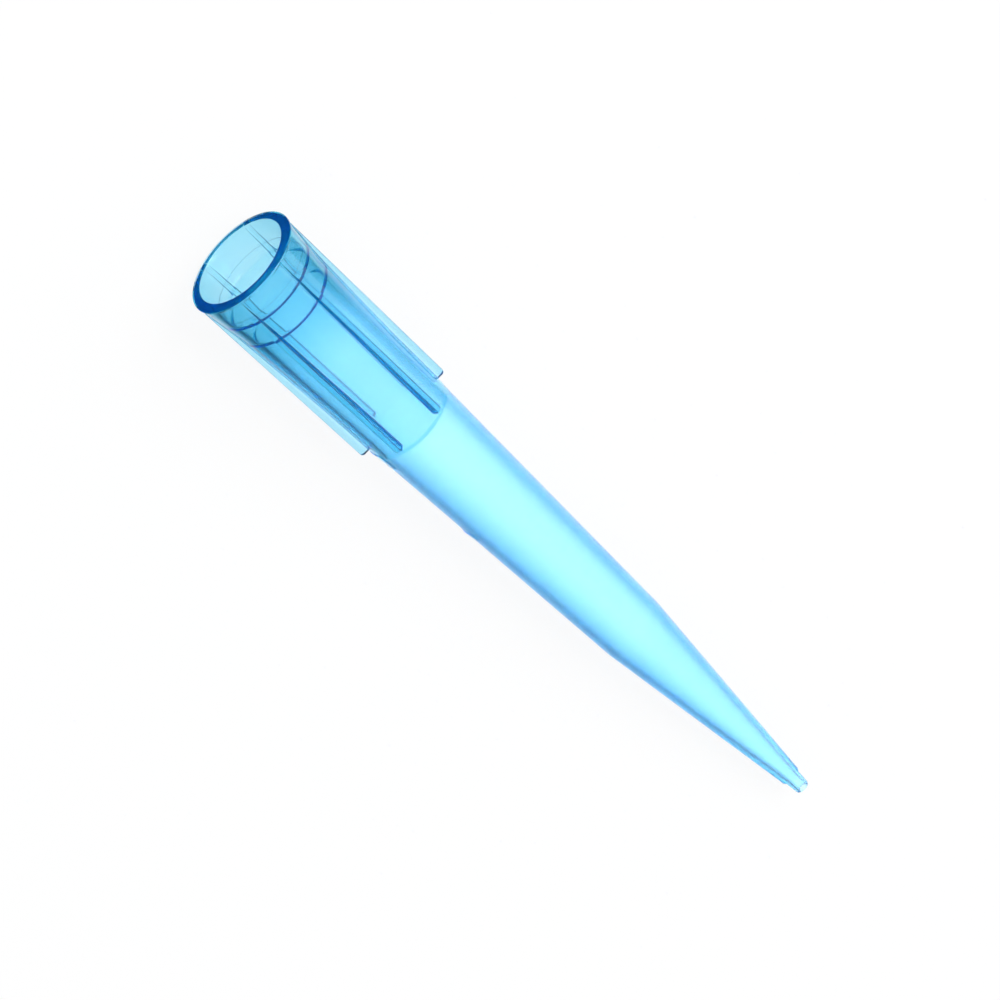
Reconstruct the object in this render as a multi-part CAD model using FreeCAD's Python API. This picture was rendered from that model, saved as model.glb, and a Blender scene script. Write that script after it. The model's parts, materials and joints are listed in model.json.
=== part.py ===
# A pipette tip for 1000 microlitres: one polypropylene moulding, lying on a bench as it comes to rest.
# Millimetres. The tip is drawn along its own axis, x from the mouth face to the nozzle's end,
# then pitched and lifted so that it rests on z = 0 with the middle of its length over the origin.

import FreeCAD, Part
import math
import os

# Lengths of the outside, one after another from the mouth
collar_length = 14.0          # tapered collar that grips the pipette's cone
collar_bend = 4.3             # from the mouth to where the collar's taper eases
shank_length = 5.6            # nearly straight stretch below the collar, to the clear end
neck_length = 1.2             # short shoulder into the body
body_length = 27.2            # slow cone, neck to knee
taper_length = 20.7           # fast cone, knee to nozzle
nozzle_length = 1.7           # thin outlet

# Lengths of the inside, one after another from the mouth
lead_in_length = 1.0
guide_length = 1.15
relief_length = 0.40          # short stretch between the guide's step and the first cove
cove_length = 0.52            # along the axis, the rounded root of each ledge
seat_length = 1.85            # parallel land where the pipette's cone seals

# Radii of the inside
mouth_radius = 3.98
lead_in_drop = 0.06           # how much the lead-in narrows
guide_drop = 0.02             # draft along the guide
guide_step = 0.04             # small step at the guide's foot
seat_radius = 3.63
seat_ledge = 0.21             # depth of the ledge below the seat
bore_draft_deg = 0.74         # draft of the bore through the collar
nozzle_bore_radius = 0.36

# Walls, measured square to the axis
rim_wall = 0.81
collar_top_wall = 0.68
collar_bend_wall = 0.67       # over the seat
collar_foot_wall = 0.60
shank_foot_wall = 0.56
body_wall = 0.47
nozzle_top_wall = 0.36
nozzle_end_wall = 0.25

# Radii of the outside that the body is drawn to
neck_foot_radius = 3.70
knee_radius = 2.81
taper_foot_radius = 0.87

# Edges and small steps
rim_height = 0.25
rim_bevel_width = 0.45        # outer part of the rim's face, which slopes back a little
rim_bevel_drop = 0.09
rim_edge_radius = 0.08
rim_underside = 0.15          # sloping underside of the rim, along the axis
nozzle_shoulder = 0.15        # sloping step down to the nozzle, along the axis
nozzle_edge_radius = 0.10
touching = 0.05               # how far added pieces reach into the wall that they stand on, at least

# Ribs
rib_count = 6
rib_thickness = 0.55
rib_top_radius = 4.68
rib_foot_radius = 4.52
rib_setback = 0.33            # from the rib's foot to the shank's end
rib_corner_radius = 0.30
rib_edge_radius = 0.08        # of the long edges of each rib, and round its foot
rib_root = 0.30               # how deep each rib's root lies in the wall

# Raised graduation lines, on the side in line with a rib
mark_arc_deg = 44.0
mark_height = 0.06
full_mark_length = 1.9        # the line at full volume, just below the shank
half_mark_length = 0.8        # the line at half volume
half_mark_from_knee = 16.7    # from the half volume line's lower edge to the knee

# Places along the axis that follow from the lengths
shank_end = collar_length + shank_length
neck_end = shank_end + neck_length
knee = neck_end + body_length
nozzle_start = knee + taper_length
tip_length = nozzle_start + nozzle_length
rib_end = shank_end - rib_setback
guide_start = lead_in_length
guide_end = guide_start + guide_length
upper_cove_start = guide_end + relief_length
seat_start = upper_cove_start + cove_length
seat_end = seat_start + seat_length
bore_start = seat_end + cove_length

# Radii that follow from others
bore_draft = math.tan(math.radians(bore_draft_deg))
guide_top_radius = mouth_radius - lead_in_drop
guide_foot_radius = guide_top_radius - guide_drop
relief_radius = guide_foot_radius - guide_step
relief_foot_radius = relief_radius - relief_length * bore_draft
bore_top_radius = seat_radius - seat_ledge
collar_bore_radius = bore_top_radius - (collar_length - bore_start) * bore_draft
shank_bore_radius = collar_bore_radius - shank_length * bore_draft
rim_radius = mouth_radius + rim_wall
collar_top_radius = mouth_radius + collar_top_wall
collar_bend_radius = seat_radius + collar_bend_wall
collar_foot_radius = collar_bore_radius + collar_foot_wall
shank_foot_radius = shank_bore_radius + shank_foot_wall
nozzle_top_radius = nozzle_bore_radius + nozzle_top_wall
nozzle_end_radius = nozzle_bore_radius + nozzle_end_wall

axis = FreeCAD.Vector(1, 0, 0)
across = FreeCAD.Vector(0, 1, 0)
origin = FreeCAD.Vector(0, 0, 0)


def point(along, radius):
    return FreeCAD.Vector(along, 0, radius)


def run(stations):
    """Straight edges through (along, radius) stations."""
    pairs = zip(stations, stations[1:])
    return [Part.LineSegment(point(*a), point(*b)).toShape() for a, b in pairs]


def bend(centre, radius, start_deg, end_deg):
    """An arc in the profile's plane; 0 degrees points along the axis, 90 away from it."""
    angles = (start_deg, (start_deg + end_deg) / 2, end_deg)
    turns = [math.radians(angle) for angle in angles]
    spots = [point(centre[0] + radius * math.cos(t), centre[1] + radius * math.sin(t)) for t in turns]
    return Part.Arc(*spots).toShape()


def cove(start, top_radius, foot_radius):
    """The rounded root of a ledge: it leaves the upper wall smoothly and ends at a crisp edge."""
    drop = top_radius - foot_radius
    radius = (cove_length ** 2 + drop ** 2) / (2 * drop)
    turn = math.degrees(2 * math.atan(drop / cove_length))
    return bend((start, top_radius - radius), radius, 90, 90 - turn)


def outside_edges():
    edge = rim_edge_radius
    tip = nozzle_edge_radius
    rim = bend((rim_bevel_drop + edge, rim_radius - edge), edge, 180, 90)
    wall = run([
        (rim_bevel_drop + edge, rim_radius),
        (rim_height, rim_radius),
        (rim_height + rim_underside, collar_top_radius),
        (collar_bend, collar_bend_radius),
        (collar_length, collar_foot_radius),
        (shank_end, shank_foot_radius),
        (neck_end, neck_foot_radius),
        (knee, knee_radius),
        (nozzle_start, taper_foot_radius),
        (nozzle_start + nozzle_shoulder, nozzle_top_radius),
        (tip_length - tip, nozzle_end_radius),
    ])
    end = bend((tip_length - tip, nozzle_end_radius - tip), tip, 90, 0)
    face = run([
        (0, mouth_radius),
        (0, rim_radius - rim_bevel_width),
        (rim_bevel_drop, rim_radius - edge),
    ])
    outlet = run([(tip_length, nozzle_end_radius - tip), (tip_length, nozzle_bore_radius)])
    return face + [rim] + wall + [end] + outlet


def inside_edges():
    chamber = run([
        (tip_length, nozzle_bore_radius),
        (nozzle_start, taper_foot_radius - body_wall),
        (knee, knee_radius - body_wall),
        (neck_end, neck_foot_radius - body_wall),
        (shank_end, shank_bore_radius),
        (bore_start, bore_top_radius),
    ])
    lower = cove(seat_end, seat_radius, bore_top_radius)
    seat = run([(seat_end, seat_radius), (seat_start, seat_radius)])
    upper = cove(upper_cove_start, relief_foot_radius, seat_radius)
    mouth = run([
        (upper_cove_start, relief_foot_radius),
        (guide_end, relief_radius),
        (guide_end, guide_foot_radius),
        (guide_start, guide_top_radius),
        (0, mouth_radius),
    ])
    return chamber + [lower] + seat + [upper] + mouth


def tube():
    edges = Part.sortEdges(outside_edges() + inside_edges())[0]
    return Part.Face(Part.Wire(edges)).revolve(origin, axis, 360)


def shank_radius_at(along):
    share = (along - collar_length) / shank_length
    return collar_foot_radius + share * (shank_foot_radius - collar_foot_radius)


def long_edges(plate):
    """The edges along a rib's two sides that stand clear of the wall: top, corner and foot."""
    side = rib_thickness / 2 - touching / 2
    on_sides = [e for e in plate.Edges if abs(e.CenterOfMass.y) > side]
    return [e for e in on_sides if e.BoundBox.ZMax > rib_foot_radius - 1.5 * rib_corner_radius]


def rib():
    """One rib over the axis: a thin plate that stands higher as the wall under it tapers away."""
    corner = rib_corner_radius
    edges = run([
        (rib_end, rib_foot_radius - corner),
        (rib_end, shank_radius_at(rib_end) - rib_root),
        (collar_length, collar_foot_radius - rib_root),
        (collar_bend, collar_bend_radius - rib_root),
        (rim_height, collar_top_radius - rib_root),
        (rim_height, rib_top_radius),
        (rib_end - corner, rib_foot_radius),
    ])
    edges.append(bend((rib_end - corner, rib_foot_radius - corner), corner, 90, 0))
    face = Part.Face(Part.Wire(Part.sortEdges(edges)[0]))
    face.translate(across * (-rib_thickness / 2))
    plate = face.extrude(across * rib_thickness)
    return plate.makeFillet(rib_edge_radius, long_edges(plate))


def ribs():
    """Two ribs straddle the lowest line of the tip, so that it rests on them without rolling."""
    pitch = 360.0 / rib_count
    around = [180 + pitch * (index + 0.5) for index in range(rib_count)]
    return [rib().rotated(origin, axis, angle) for angle in around]


def body_radius_at(along):
    if along < neck_end:
        share = (along - shank_end) / neck_length
        return shank_foot_radius + share * (neck_foot_radius - shank_foot_radius)
    share = (along - neck_end) / body_length
    return neck_foot_radius + share * (knee_radius - neck_foot_radius)


def mark(start, length):
    """A raised line that follows the wall, over part of a turn, centred on the -Y side."""
    end = start + length
    top, foot = body_radius_at(start), body_radius_at(end)
    outline = [
        (start, top - touching),
        (start, top + mark_height),
        (end, foot + mark_height),
        (end, foot - touching),
        (start, top - touching),
    ]
    pad = Part.Face(Part.Wire(run(outline))).revolve(origin, axis, mark_arc_deg)
    return pad.rotated(origin, axis, 90 - mark_arc_deg / 2)


def marks():
    half_mark_start = knee - half_mark_from_knee - half_mark_length
    return [mark(shank_end, full_mark_length), mark(half_mark_start, half_mark_length)]


def moulding():
    """The tube with its ribs and marks, as the one solid that comes out of the mould."""
    joined = tube().multiFuse(ribs() + marks()).removeSplitter()
    if len(joined.Solids) != 1:
        raise ValueError(f"the moulding has {len(joined.Solids)} solids")
    return joined.Solids[0]


def rib_depth():
    """How far below the axis the rounded edges of the two bottom ribs reach."""
    half_pitch = math.radians(180.0 / rib_count)
    centre_height = rib_foot_radius - rib_edge_radius
    centre_aside = rib_thickness / 2 - rib_edge_radius
    return centre_height * math.cos(half_pitch) + centre_aside * math.sin(half_pitch) + rib_edge_radius


def resting_pitch(weight_at):
    """The nose-down pitch, in radians, on the two supports that the weight falls between."""
    supports = [
        (rim_height, rim_radius),
        (rib_end - rib_corner_radius, rib_depth()),
        (knee, knee_radius),
        (tip_length - nozzle_edge_radius, nozzle_end_radius),
    ]
    heels = [s for s in supports if s[0] < weight_at]
    toes = [s for s in supports if s[0] >= weight_at]

    def slope(pair):
        return (pair[0][1] - pair[1][1]) / (pair[1][0] - pair[0][0])

    def depth_under_weight(pair):
        return pair[1][1] + (pair[1][0] - weight_at) * slope(pair)

    pairs = [(heel, toe) for heel in heels for toe in toes]
    return math.atan(slope(max(pairs, key=depth_under_weight)))


def laid_down(shape):
    """The shape pitched to its rest, on z = 0, centred over the origin."""
    pitch = resting_pitch(shape.CenterOfMass.x)
    lying = shape.rotated(origin, across, math.degrees(pitch))
    box = lying.optimalBoundingBox()
    shift = FreeCAD.Vector(-box.Center.x, -box.Center.y, -box.ZMin)
    return lying.translated(shift), pitch, shift


def main():
    tip, pitch, shift = laid_down(moulding())
    os.makedirs("parts", exist_ok=True)
    tip.exportStep("parts/pipette_tip.step")
    box = tip.optimalBoundingBox()
    print(f"valid {tip.isValid()}, solids {len(tip.Solids)}, volume {tip.Volume:.2f} mm3")
    print(f"pitch {math.degrees(pitch):.3f} deg, mouth centre {shift.x:.4f}, {shift.y:.4f}, {shift.z:.4f}")
    print(f"box {box.XMin:.3f} {box.YMin:.3f} {box.ZMin:.3f} to {box.XMax:.3f} {box.YMax:.3f} {box.ZMax:.3f}")
    return tip, pitch, shift


main()
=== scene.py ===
import bmesh
import bpy
import json
import math
from mathutils import Matrix, Vector


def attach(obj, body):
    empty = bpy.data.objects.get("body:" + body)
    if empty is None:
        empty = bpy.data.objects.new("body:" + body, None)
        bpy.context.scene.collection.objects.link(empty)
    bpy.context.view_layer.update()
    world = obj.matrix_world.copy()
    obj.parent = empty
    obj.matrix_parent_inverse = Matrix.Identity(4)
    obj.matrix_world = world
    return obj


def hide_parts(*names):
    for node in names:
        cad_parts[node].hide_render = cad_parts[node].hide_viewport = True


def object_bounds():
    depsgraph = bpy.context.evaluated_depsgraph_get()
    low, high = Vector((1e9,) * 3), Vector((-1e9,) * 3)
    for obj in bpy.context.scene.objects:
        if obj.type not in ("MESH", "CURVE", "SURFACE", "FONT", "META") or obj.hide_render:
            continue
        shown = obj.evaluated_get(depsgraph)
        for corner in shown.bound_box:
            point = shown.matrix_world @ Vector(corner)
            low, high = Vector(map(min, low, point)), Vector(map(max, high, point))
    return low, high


# a blue 1000 microlitre pipette tip, lying on its ribs on a pale table
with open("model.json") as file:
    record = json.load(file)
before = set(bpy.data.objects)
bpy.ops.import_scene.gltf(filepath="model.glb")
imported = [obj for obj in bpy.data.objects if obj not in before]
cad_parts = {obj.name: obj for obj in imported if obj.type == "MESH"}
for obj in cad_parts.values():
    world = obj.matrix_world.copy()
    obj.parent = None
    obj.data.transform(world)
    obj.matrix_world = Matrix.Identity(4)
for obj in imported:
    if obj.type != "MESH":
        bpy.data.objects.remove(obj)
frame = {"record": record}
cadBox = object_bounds()
mm = 0.001

# the moulding, in mm: "along" is counted from the mouth's face, and a "foot" is the end of a taper
outside = {
    "rimRadius": 4.79, "bevelWidth": 0.45, "bevelDrop": 0.09, "rimEdge": 0.08,
    "rimHeight": 0.25, "rimUnderside": 0.15,
    "collarTop": 4.66, "bendRadius": 4.30, "collarBend": 4.3,
    "collarFoot": 3.909, "collarEnd": 14.0,
    "shankFoot": 3.797, "shankEnd": 19.6,
    "neckFoot": 3.70, "neckEnd": 20.8,
    "kneeRadius": 2.81, "knee": 48.0,
    "taperFoot": 0.87, "taperEnd": 68.7, "nozzleShoulder": 0.15,
    "nozzleTop": 0.72, "nozzleFoot": 0.61, "nozzleEdge": 0.10, "length": 70.4,
}
inside = {
    "mouthRadius": 3.98, "mouthEdge": 0.04,
    "leadInFoot": 3.92, "leadInEnd": 1.0,
    "guideFoot": 3.90, "guideEnd": 2.15,
    "reliefTop": 3.86, "reliefFoot": 3.855, "reliefEnd": 2.55,
    "coveLength": 0.52, "seatRadius": 3.63, "seatEnd": 4.92,
    "boreTop": 3.42, "boreFoot": 3.237,
    "neckRadius": 3.23, "kneeRadius": 2.34, "taperFoot": 0.40, "nozzleBore": 0.36,
}
ribs = {
    "count": 6, "thickness": 0.55, "topRadius": 4.68, "footRadius": 4.52,
    "start": 0.25, "end": 19.27,
    "corner": 0.30, "edge": 0.08, "root": 0.04,
    "roundest": 0.45,                                # a rounding is at most this share of the height
    "underRim": 0.01,                                # they start where the rim is this much higher
}
marks = {
    "middle": 270, "arc": 44,                        # degrees around
    "height": 0.06, "slope": 0.05,
    "spans": [(19.6, 21.5), (30.5, 31.3)],
}
frost = {
    # the outside turns matte here, after a polished ring
    "start": 19.6, "blend": 0.12, "ring": 0.22,
    "onRing": 0.10, "outside": 1.0, "mark": 0.15,
    # a faint haze inside the mouth grows below the seat, and the wall between the ribs joins it
    "mouth": 0.15, "hazeStart": 5.0, "hazeFull": 9.5, "bore": 0.50, "shank": 0.52,
    "onRib": 0.05,                                   # what stands out further is a polished rib
}
fineness = {
    "betweenRibs": 30, "rootSteps": 4, "edgeSteps": 3, "cornerSteps": 6,
    "mouthSteps": 2, "turnSteps": 5, "coveSteps": 8,
    "alongStep": 1.4, "leadInStep": 0.6, "underRimStep": 0.05,
    "seam": 1e-4,                                    # between two rings where the finish changes
    "slack": 1e-6, "weld": 1e-5,                     # for rounding errors, and for rings that meet
    "sharpDeg": 35,
}

# the cone seat's axis is the tip's own, and points out of the mouth
seat = next(m for m in frame["record"]["mounts"] if m["name"] == "cone_seat")
seatMiddle = (inside["reliefEnd"] + inside["coveLength"] + inside["seatEnd"]) / 2
alongTip = -Vector(seat["axis"]).normalized()
acrossTip = Vector((0, 1, 0))
aboveTip = alongTip.cross(acrossTip)
mouthCentre = Vector(seat["pos_m"]) - alongTip * seatMiddle * mm


def wallStations():
    # (along, radius) of the outer wall, from the rim to the nozzle
    o = outside
    return [
        (o["rimHeight"], o["rimRadius"]), (o["rimHeight"] + o["rimUnderside"], o["collarTop"]),
        (o["collarBend"], o["bendRadius"]), (o["collarEnd"], o["collarFoot"]),
        (o["shankEnd"], o["shankFoot"]),
        (o["neckEnd"], o["neckFoot"]), (o["knee"], o["kneeRadius"]),
        (o["taperEnd"], o["taperFoot"]), (o["taperEnd"] + o["nozzleShoulder"], o["nozzleTop"]),
        (o["length"] - o["nozzleEdge"], o["nozzleFoot"]),
    ]


def tipMatrix():
    # from mm along, across and above the tip's axis to the frame's metres
    turn = Matrix((alongTip, acrossTip, aboveTip)).transposed().to_4x4()
    return Matrix.Translation(mouthCentre) @ turn @ Matrix.Scale(mm, 4)


def between(stations, along):
    # the radius at a place, from (along, radius) stations
    for (a, ra), (b, rb) in zip(stations, stations[1:]):
        if a <= along <= b:
            return ra + (rb - ra) * (along - a) / (b - a)
    return stations[-1][1]


def spaced(start, end, step):
    count = max(1, round(abs(end - start) / step))
    return [start + (end - start) * i / count for i in range(count + 1)]


def turns(steps, startDeg, endDeg):
    # evenly spaced angles of a rounding, in radians
    return [math.radians(startDeg + (endDeg - startDeg) * i / steps) for i in range(steps + 1)]


def ribTopAt(along):
    # the straight outer edge, then the round corner at the rib's foot
    cornerStart = ribs["end"] - ribs["corner"]
    share = (min(along, cornerStart) - ribs["start"]) / (cornerStart - ribs["start"])
    top = ribs["topRadius"] + share * (ribs["footRadius"] - ribs["topRadius"])
    past = max(along - cornerStart, 0)
    return top - ribs["corner"] + math.sqrt(max(ribs["corner"] ** 2 - past ** 2, 0))


def ribHalfAt(along):
    # half the thickness, drawn in a little over the foot's rounded edges
    edge = ribs["edge"]
    past = max(along - (ribs["end"] - edge), 0)
    return ribs["thickness"] / 2 - edge + math.sqrt(max(edge ** 2 - past ** 2, 0))


def ribSection(wall, top, half):
    # half of a rib's outline as (across, above), from the wall to the middle of its top
    height = top - math.sqrt(wall ** 2 - half ** 2)
    root = min(ribs["root"], ribs["roundest"] * height)
    edge = min(ribs["edge"], ribs["roundest"] * height)
    middle = math.sqrt((wall + root) ** 2 - (half + root) ** 2)
    lean = math.degrees(math.atan2(half + root, middle))
    points = []
    for t in turns(fineness["rootSteps"], 270 - lean, 180):
        points.append((half + root + root * math.cos(t), middle + root * math.sin(t)))
    points.append((half, (middle + top - edge) / 2))
    for t in turns(fineness["edgeSteps"], 0, 90):
        points.append((half - edge + edge * math.cos(t), top - edge + edge * math.sin(t)))
    return points + [(0, top)]


def ribFoot():
    # the section that a rib ends with: the round rings take their places from it
    wall = between(wallStations(), ribs["end"])
    return ribSection(wall, ribTopAt(ribs["end"]), ribHalfAt(ribs["end"]))


def turned(along, across, above, angle):
    # a place across and above the axis, turned around it
    turn = math.radians(angle)
    y = above * math.sin(turn) + across * math.cos(turn)
    z = above * math.cos(turn) - across * math.sin(turn)
    return (along, y, z)


def ring(along, wall, ribbed=False, lift=None):
    # one closed ring; all have as many points, so that neighbours join into quads
    section = ribSection(wall, ribTopAt(along), ribHalfAt(along)) if ribbed else ribFoot()
    outline = [(-a, b) for a, b in section] + section[-2::-1]
    spread = math.degrees(math.atan2(*section[0]))
    pitch = 360 / ribs["count"]
    points = []
    for index in range(ribs["count"]):
        middle = pitch * (index + 0.5)
        angles = [middle + spread + (pitch - 2 * spread) * i / fineness["betweenRibs"]
                  for i in range(1, fineness["betweenRibs"])]
        if ribbed:
            points += [turned(along, a, b, middle) for a, b in outline]
        else:
            steps = len(outline) - 1
            angles = [middle - spread + 2 * spread * i / steps for i in range(steps + 1)] + angles
        points += [turned(along, 0, wall + (lift(a) if lift else 0), a) for a in angles]
    return points


def markLift(along):
    # how far a raised line lifts the wall at this place, as a function of the angle
    slope = marks["slope"] - fineness["slack"]
    if not any(start + slope <= along <= end - slope for start, end in marks["spans"]):
        return None
    return lambda angle: marks["height"] * (abs(angle - marks["middle"]) <= marks["arc"] / 2)


def rimRings():
    # from the mouth's inner edge over the bevelled face to the rim's underside
    o = outside
    rings = []
    edge, mouth = inside["mouthEdge"], inside["mouthRadius"]
    for t in turns(fineness["mouthSteps"], 270, 180):
        rings.append(ring(edge + edge * math.cos(t), mouth + edge + edge * math.sin(t)))
    rings.append(ring(0, o["rimRadius"] - o["bevelWidth"]))
    edge = o["rimEdge"]
    for t in turns(fineness["turnSteps"], 180, 90):
        along = o["bevelDrop"] + edge + edge * math.cos(t)
        rings.append(ring(along, o["rimRadius"] - edge + edge * math.sin(t)))
    return rings + [ring(o["rimHeight"], o["rimRadius"])]


def ribbedRings():
    # the ribs come out of the rim's sloping underside and end above the shoulder
    o = outside
    wall = wallStations()
    rimFoot = o["rimHeight"] + o["rimUnderside"]
    drop = o["rimRadius"] - o["collarTop"]
    share = (o["rimRadius"] - ribs["topRadius"] - ribs["underRim"]) / drop
    emerge = o["rimHeight"] + share * o["rimUnderside"]
    cornerStart = ribs["end"] - ribs["corner"]
    step = fineness["underRimStep"]
    places = spaced(emerge + step / 2, rimFoot, step)
    stops = [rimFoot, o["collarBend"], o["collarEnd"], cornerStart]
    for start, end in zip(stops, stops[1:]):
        places += spaced(start, end, fineness["alongStep"])[1:]
    corner = turns(fineness["cornerSteps"], 0, 90)[1:-1]
    places += [cornerStart + ribs["corner"] * math.sin(t) for t in corner]
    edge = turns(fineness["edgeSteps"], 0, 90)[1:]
    places += [ribs["end"] - ribs["edge"] * (1 - math.sin(t)) for t in edge]
    rings = [ring(emerge, between(wall, emerge))]
    rings += [ring(along, between(wall, along), ribbed=True) for along in sorted(places)]
    return rings + [ring(ribs["end"], between(wall, ribs["end"]))]


def coneRings():
    # below the ribs, to the end of the nozzle
    o = outside
    wall = wallStations()
    stops = [o["shankEnd"] - fineness["seam"], o["neckEnd"], o["knee"], o["taperEnd"]]
    stops += [o["taperEnd"] + o["nozzleShoulder"], wall[-1][0]]
    for start, end in marks["spans"]:
        stops += [start, start + marks["slope"], end - marks["slope"], end]
    ringStart = frost["start"] + frost["blend"]
    ringEnd = ringStart + frost["ring"]
    stops += [ringStart, ringEnd, ringEnd + frost["blend"]]
    stops = sorted(set(stops))
    places = [stops[0]]
    for start, end in zip(stops, stops[1:]):
        places += spaced(start, end, fineness["alongStep"])[1:]
    rings = [ring(along, between(wall, along), lift=markLift(along)) for along in places]
    edge = o["nozzleEdge"]
    for t in turns(fineness["turnSteps"], 90, 0)[1:]:
        along = o["length"] - edge + edge * math.cos(t)
        rings.append(ring(along, o["nozzleFoot"] - edge + edge * math.sin(t)))
    return rings


def coveRings(start, top, foot):
    # the rounded root of a ledge: smooth out of the upper wall, then a crisp edge
    drop, length = top - foot, inside["coveLength"]
    radius = (length ** 2 + drop ** 2) / (2 * drop)
    swing = math.degrees(2 * math.atan(drop / length))
    return [ring(start + radius * math.cos(t), top - radius + radius * math.sin(t))
            for t in turns(fineness["coveSteps"], 90, 90 - swing)]


def plainRings(stations, step):
    # round rings through (along, radius) stations
    rings = []
    for (start, _), (end, _) in zip(stations, stations[1:]):
        rings += [ring(along, between(stations, along)) for along in spaced(start, end, step)]
    return rings


def insideRings():
    # from the mouth's inner edge down to the nozzle's opening
    i, o = inside, outside
    leadIn = [(i["mouthEdge"], i["mouthRadius"]), (i["leadInEnd"], i["leadInFoot"])]
    guide = [(i["leadInEnd"], i["leadInFoot"]), (i["guideEnd"], i["guideFoot"])]
    relief = [(i["guideEnd"], i["reliefTop"]), (i["reliefEnd"], i["reliefFoot"])]
    bore = [
        (i["seatEnd"] + i["coveLength"], i["boreTop"]),
        (o["shankEnd"], i["boreFoot"]), (o["neckEnd"], i["neckRadius"]),
        (o["knee"], i["kneeRadius"]),
        (o["taperEnd"], i["taperFoot"]), (o["length"], i["nozzleBore"]),
    ]
    rings = []
    for stations in (leadIn, guide, relief):
        rings += plainRings(stations, fineness["leadInStep"])
    rings += coveRings(i["reliefEnd"], i["reliefFoot"], i["seatRadius"])
    rings += coveRings(i["seatEnd"], i["seatRadius"], i["boreTop"])
    return rings + plainRings(bore, fineness["alongStep"])


def matteAt(along, y, z, outer):
    # 0 is polished, 1 is the full frosting of the mould
    deep = (along - frost["hazeStart"]) / (frost["hazeFull"] - frost["hazeStart"])
    deep = min(max(deep, 0), 1)
    if not outer:
        return frost["mouth"] + deep * (frost["bore"] - frost["mouth"])
    if along <= frost["start"]:
        onRib = math.hypot(y, z) > between(wallStations(), along) + frost["onRib"]
        return 0 if onRib else deep * frost["shank"]
    lift = markLift(along)
    if lift and lift(math.degrees(math.atan2(y, z)) % 360):
        return frost["mark"]
    past = along - frost["start"] - frost["blend"]
    return frost["outside" if past > frost["ring"] else "onRing"]


def cleanMesh(mesh):
    # welds the rings that coincide, and turns all faces outwards
    work = bmesh.new()
    work.from_mesh(mesh)
    bmesh.ops.remove_doubles(work, verts=work.verts, dist=fineness["weld"])
    bmesh.ops.dissolve_degenerate(work, edges=work.edges, dist=fineness["weld"])
    bmesh.ops.recalc_face_normals(work, faces=work.faces)
    loose = [e for e in work.edges if len(e.link_faces) != 2]
    print("tip:", len(work.verts), "points,", len(work.faces), "faces,", len(loose), "open edges")
    work.to_mesh(mesh)
    work.free()


def buildTip():
    outer = rimRings() + ribbedRings() + coneRings()
    rings = outer + insideRings()[::-1]
    count = len(rings[0])
    faces = []
    for j in range(len(rings)):
        here, there = j * count, (j + 1) % len(rings) * count
        for k in range(count):
            step = (k + 1) % count
            faces.append((here + k, there + k, there + step, here + step))
    mesh = bpy.data.meshes.new("pipetteTip")
    mesh.from_pydata([point for points in rings for point in points], [], faces)
    matte = mesh.attributes.new("matte", "FLOAT", "POINT")
    matte.data.foreach_set("value", [
        matteAt(*point, j < len(outer)) for j, points in enumerate(rings) for point in points
    ])
    cleanMesh(mesh)
    mesh.transform(tipMatrix())
    mesh.shade_smooth()
    mesh.set_sharp_from_angle(angle=math.radians(fineness["sharpDeg"]))
    tip = bpy.data.objects.new("pipetteTip", mesh)
    bpy.context.scene.collection.objects.link(tip)
    return tip


def newMaterial(name):
    material = bpy.data.materials.new(name)
    material.use_nodes = True
    tree = material.node_tree
    tree.nodes.clear()
    return material, tree, tree.nodes.new("ShaderNodeOutputMaterial")


def addNode(tree, kind, sockets=None, **settings):
    # a socket is given a number, a colour or another node's output
    node = tree.nodes.new(kind)
    for name, value in settings.items():
        setattr(node, name, value)
    for socket, value in (sockets or {}).items():
        if isinstance(value, bpy.types.NodeSocket):
            tree.links.new(value, node.inputs[socket])
        else:
            node.inputs[socket].default_value = value
    return node


def mathNode(tree, operation, *values):
    node = addNode(tree, "ShaderNodeMath", dict(enumerate(values)), operation=operation)
    return node.outputs[0]


def fadeNode(tree, value, start, end, startValue, endValue):
    fade = addNode(tree, "ShaderNodeMapRange", {
        "Value": value, "From Min": start, "From Max": end,
        "To Min": startValue, "To Max": endValue,
    }, interpolation_type="SMOOTHSTEP")
    return fade.outputs["Result"]


plastic = {
    "refraction": 1.49,
    "tint": (0.66, 0.88, 1.0),                       # taken once by each wall
    "absorbed": (850, 125, 1),                       # of red, green and blue, per metre inside
    # polypropylene is never quite clear: it scatters blue light a little, mostly forwards
    "haze": 350, "hazeColour": (0.02, 0.66, 1.0), "hazeForward": 0.9,
    "polished": 0.02, "frosted": 0.25,               # roughness where matte is 0 and 1
    "blurPower": 3,                                  # a faint frosting whitens before it blurs
    # light that the frosting sends back: white face on, and a painted blue shade at the edge, which
    # stands for light's longer way along the wall
    "sentBack": 0.31, "face": (0.95, 0.95, 0.95), "edge": (0.0, 0.28, 0.74), "edgeShadeBlend": 1.7,
    "flow": 500, "flowRoughness": 0.02,              # unevenness of the melt, per metre
    "grain": 7000, "grainHeight": 0.000004,          # of the frosting, per metre and in metres
}


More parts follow.
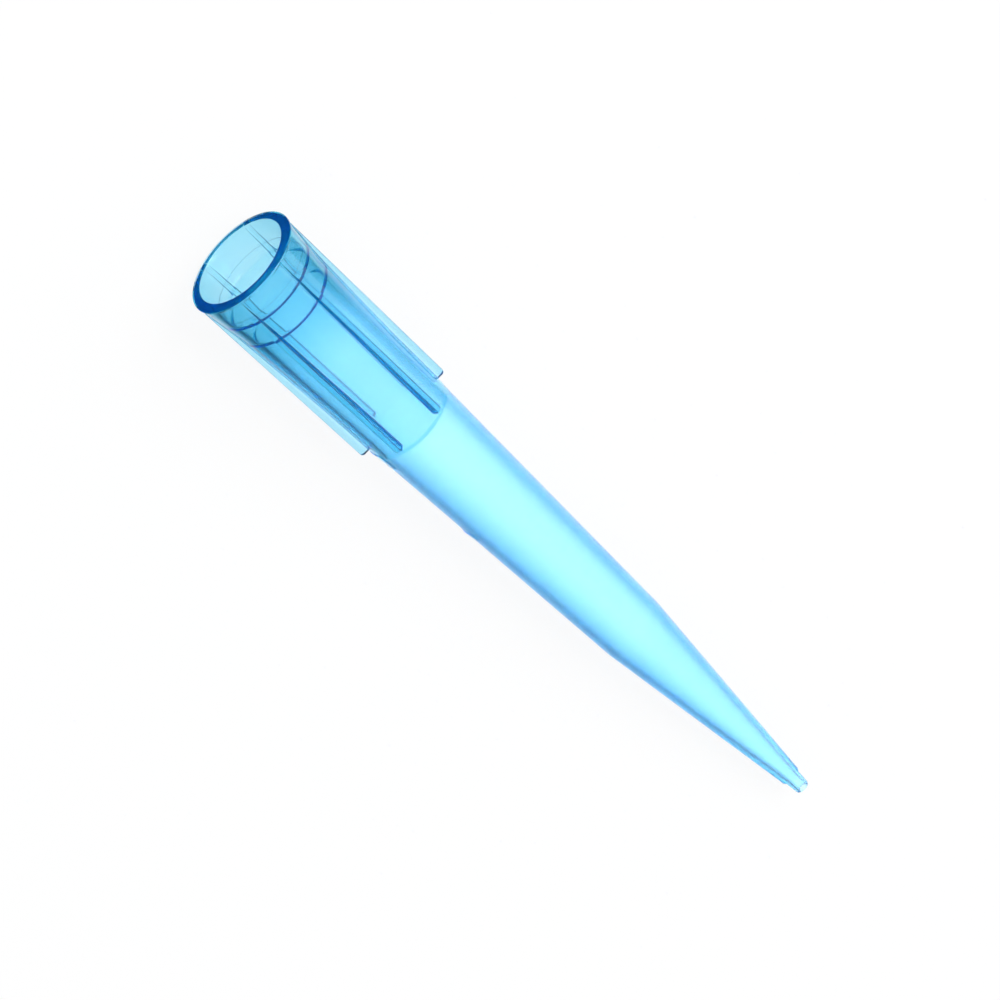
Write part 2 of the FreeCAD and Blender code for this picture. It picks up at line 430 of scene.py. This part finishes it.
def plasticMaterial():
    material, tree, out = newMaterial("bluePolypropylene")
    matte = addNode(tree, "ShaderNodeAttribute", attribute_name="matte").outputs["Fac"]
    place = addNode(tree, "ShaderNodeTexCoord").outputs["Object"]
    blur = mathNode(tree, "POWER", matte, plastic["blurPower"])
    rough = addNode(tree, "ShaderNodeMapRange", {
        "Value": blur, "To Min": plastic["polished"], "To Max": plastic["frosted"],
    }).outputs["Result"]
    # the melt's flow makes the finish waver a little
    flow = addNode(tree, "ShaderNodeTexNoise", {
        "Vector": place, "Scale": plastic["flow"],
    }).outputs["Fac"]
    uneven = mathNode(tree, "MULTIPLY_ADD", flow, plastic["flowRoughness"], rough)
    # fine grain in the frosting
    grain = addNode(tree, "ShaderNodeTexNoise", {"Vector": place, "Scale": plastic["grain"]})
    bump = addNode(tree, "ShaderNodeBump", {
        "Strength": blur, "Distance": plastic["grainHeight"], "Height": grain.outputs["Fac"],
    })
    body = addNode(tree, "ShaderNodeBsdfPrincipled", {
        "Base Color": (*plastic["tint"], 1), "Roughness": uneven, "Normal": bump.outputs["Normal"],
        "Transmission Weight": 1, "IOR": plastic["refraction"],
    }).outputs["BSDF"]
    # the frosting sends back a little light of its own
    # its colour is painted by the view angle: the blue at the edge is painted shade for the longer
    # way of the light inside the wall
    turnedAway = addNode(tree, "ShaderNodeLayerWeight").outputs["Facing"]
    edgeShadeBlend = mathNode(tree, "POWER", mathNode(tree, "SUBTRACT", 1, turnedAway), plastic["edgeShadeBlend"])
    colour = addNode(tree, "ShaderNodeMix", {
        "Factor": edgeShadeBlend, "A": (*plastic["edge"], 1), "B": (*plastic["face"], 1),
    }, data_type="RGBA")
    powder = addNode(tree, "ShaderNodeBsdfDiffuse", {"Color": colour.outputs["Result"]})
    powdered = addNode(tree, "ShaderNodeAddShader", {0: body, 1: powder.outputs["BSDF"]})
    sentBack = mathNode(tree, "MULTIPLY", matte, plastic["sentBack"])
    surface = addNode(tree, "ShaderNodeMixShader", {
        "Fac": sentBack, 1: body, 2: powdered.outputs[0],
    })
    # the blue is in the plastic itself, so thick places are deeper
    density = max(plastic["absorbed"])
    blue = addNode(tree, "ShaderNodeVolumeAbsorption", {
        "Density": density, "Color": (*[1 - a / density for a in plastic["absorbed"]], 1),
    }).outputs["Volume"]
    haze = addNode(tree, "ShaderNodeVolumeScatter", {
        "Density": plastic["haze"], "Color": (*plastic["hazeColour"], 1),
        "Anisotropy": plastic["hazeForward"],
    }).outputs["Volume"]
    volume = addNode(tree, "ShaderNodeAddShader", {0: blue, 1: haze})
    tree.links.new(surface.outputs[0], out.inputs["Surface"])
    tree.links.new(volume.outputs[0], out.inputs["Volume"])
    return material


tip = buildTip()
tip.data.materials.append(plasticMaterial())
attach(tip, "root")
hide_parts("pipette_tip")
print("tip built")

# the table is a white glass top: what the plastic refracts and mirrors is the light panel under it
table = {
    "size": 1.6, "below": 0.00002,                   # metres, under the tip's lowest point
    "colour": (0.93, 0.94, 0.95),
    "plainWhite": 0.9,                               # how far the view of it is flat white
}
panel = {
    "size": 1.2, "below": 0.10,                      # metres
    "colour": (1, 1, 1), "dark": 0.02,
    # it fades to the sides, in metres from its middle, and ends in front of the mouth
    "middle": 0.025, "full": 0.075, "end": 0.16, "far": 0.08,
    "frontStart": -0.075, "frontFull": -0.035,
}


def tableMaterial():
    material, tree, out = newMaterial("paleTable")
    rays = addNode(tree, "ShaderNodeLightPath").outputs
    lit = addNode(tree, "ShaderNodeBsdfDiffuse", {"Color": (*table["colour"], 1)})
    white = addNode(tree, "ShaderNodeEmission")
    seen = addNode(tree, "ShaderNodeMixShader", {
        "Fac": mathNode(tree, "MULTIPLY", rays["Is Camera Ray"], table["plainWhite"]),
        1: lit.outputs[0], 2: white.outputs[0],
    })
    # rays that the plastic refracts or mirrors go on to the panel
    clear = addNode(tree, "ShaderNodeBsdfTransparent")
    through = addNode(tree, "ShaderNodeMixShader", {
        "Fac": mathNode(tree, "MAXIMUM", rays["Is Transmission Ray"], rays["Is Glossy Ray"]),
        1: seen.outputs[0], 2: clear.outputs[0],
    })
    tree.links.new(through.outputs[0], out.inputs["Surface"])
    return material


def panelMaterial():
    material, tree, out = newMaterial("lightPanel")
    material.cycles.emission_sampling = "NONE"
    position = addNode(tree, "ShaderNodeNewGeometry").outputs["Position"]
    place = addNode(tree, "ShaderNodeSeparateXYZ", {0: position}).outputs
    aside = mathNode(tree, "ABSOLUTE", mathNode(tree, "SUBTRACT", place["Y"], panel["middle"]))
    sides = fadeNode(tree, aside, panel["full"], panel["end"], 1, panel["far"])
    front = fadeNode(tree, place["X"], panel["frontStart"], panel["frontFull"], panel["dark"], 1)
    glow = addNode(tree, "ShaderNodeEmission", {
        "Color": (*panel["colour"], 1), "Strength": mathNode(tree, "MULTIPLY", sides, front),
    })
    tree.links.new(glow.outputs[0], out.inputs["Surface"])
    return material


def buildBoard(name, size, below, material):
    half = size / 2
    height = cadBox[0][2] - below
    mesh = bpy.data.meshes.new(name)
    corners = [(-half, -half), (half, -half), (half, half), (-half, half)]
    mesh.from_pydata([(x, y, height) for x, y in corners], [], [(0, 1, 2, 3)])
    board = bpy.data.objects.new(name, mesh)
    bpy.context.scene.collection.objects.link(board)
    board.data.materials.append(material)


buildBoard("table", table["size"], table["below"], tableMaterial())
buildBoard("panel", panel["size"], panel["below"], panelMaterial())
print("table set")

studio = {
    # bright overhead and dim towards the horizon; the heights are the sine of the angle
    "sky": {"horizon": 0.15, "overhead": 0.9, "from": 0.2, "to": 0.8},
    "key": {"from": (-0.10, 0.45, 0.55), "size": 0.5, "watts": 2.8},
    # the collar's wall mirrors this one
    "side": {"from": (0.39, 0.60, 0.225), "size": 0.5, "watts": 0.7},
    # light runs a long way inside the clear wall before it comes out
    "bounces": 64, "hazeBounces": 12,
}


def buildLight(name, lamp):
    data = bpy.data.lights.new(name, "AREA")
    data.shape = "SQUARE"
    data.size = lamp["size"]
    data.energy = lamp["watts"]
    light = bpy.data.objects.new(name, data)
    light.location = lamp["from"]
    light.rotation_euler = (-Vector(lamp["from"])).to_track_quat("-Z", "Y").to_euler()
    bpy.context.scene.collection.objects.link(light)


def buildSky():
    sky = studio["sky"]
    world = bpy.data.worlds.new("studio")
    world.use_nodes = True
    tree = world.node_tree
    direction = addNode(tree, "ShaderNodeTexCoord").outputs["Generated"]
    height = addNode(tree, "ShaderNodeSeparateXYZ", {0: direction}).outputs["Z"]
    rise = fadeNode(tree, height, sky["from"], sky["to"], sky["horizon"], sky["overhead"])
    # seen straight, the backdrop is white
    rays = addNode(tree, "ShaderNodeLightPath").outputs
    background = tree.nodes["Background"]
    background.inputs["Color"].default_value = (1, 1, 1, 1)
    strength = mathNode(tree, "MAXIMUM", rise, rays["Is Camera Ray"])
    tree.links.new(strength, background.inputs["Strength"])
    bpy.context.scene.world = world


buildSky()
buildLight("key", studio["key"])
buildLight("side", studio["side"])
scene = bpy.context.scene
scene.view_settings.view_transform = "Standard"
scene.cycles.max_bounces = studio["bounces"]
scene.cycles.glossy_bounces = studio["bounces"]
scene.cycles.transmission_bounces = studio["bounces"]
scene.cycles.volume_bounces = studio["hazeBounces"]
print("lit")

view = {
    "along": 30.93, "aside": 0.235,                  # mm, the point of the axis that it looks at
    "distance": 464.7, "awayFromAxis": 31.4,         # mm, degrees
    "around": 1.9, "slope": 43.10,                   # degrees; slope is the axis's in the frame
    "lens": 216, "nearest": 0.01,                    # mm, metres
}


def buildCamera():
    away, around = math.radians(view["awayFromAxis"]), math.radians(view["around"])
    square = aboveTip * math.cos(around) + acrossTip * math.sin(around)
    towards = -alongTip * math.sin(away) + square * math.cos(away)
    alongFrame = (alongTip + towards * math.sin(away)).normalized()
    acrossFrame = towards.cross(alongFrame)
    slope = math.radians(view["slope"])
    right = alongFrame * math.cos(slope) + acrossFrame * math.sin(slope)
    up = towards.cross(right)
    data = bpy.data.cameras.new("camera")
    data.lens = view["lens"]
    data.clip_start = view["nearest"]
    camera = bpy.data.objects.new("camera", data)
    turn = Matrix((right, up, towards)).transposed().to_4x4()
    aim = mouthCentre + alongTip * view["along"] * mm + acrossFrame * view["aside"] * mm
    camera.matrix_world = Matrix.Translation(aim + towards * view["distance"] * mm) @ turn
    bpy.context.scene.collection.objects.link(camera)
    bpy.context.scene.camera = camera


buildCamera()
print("camera placed")
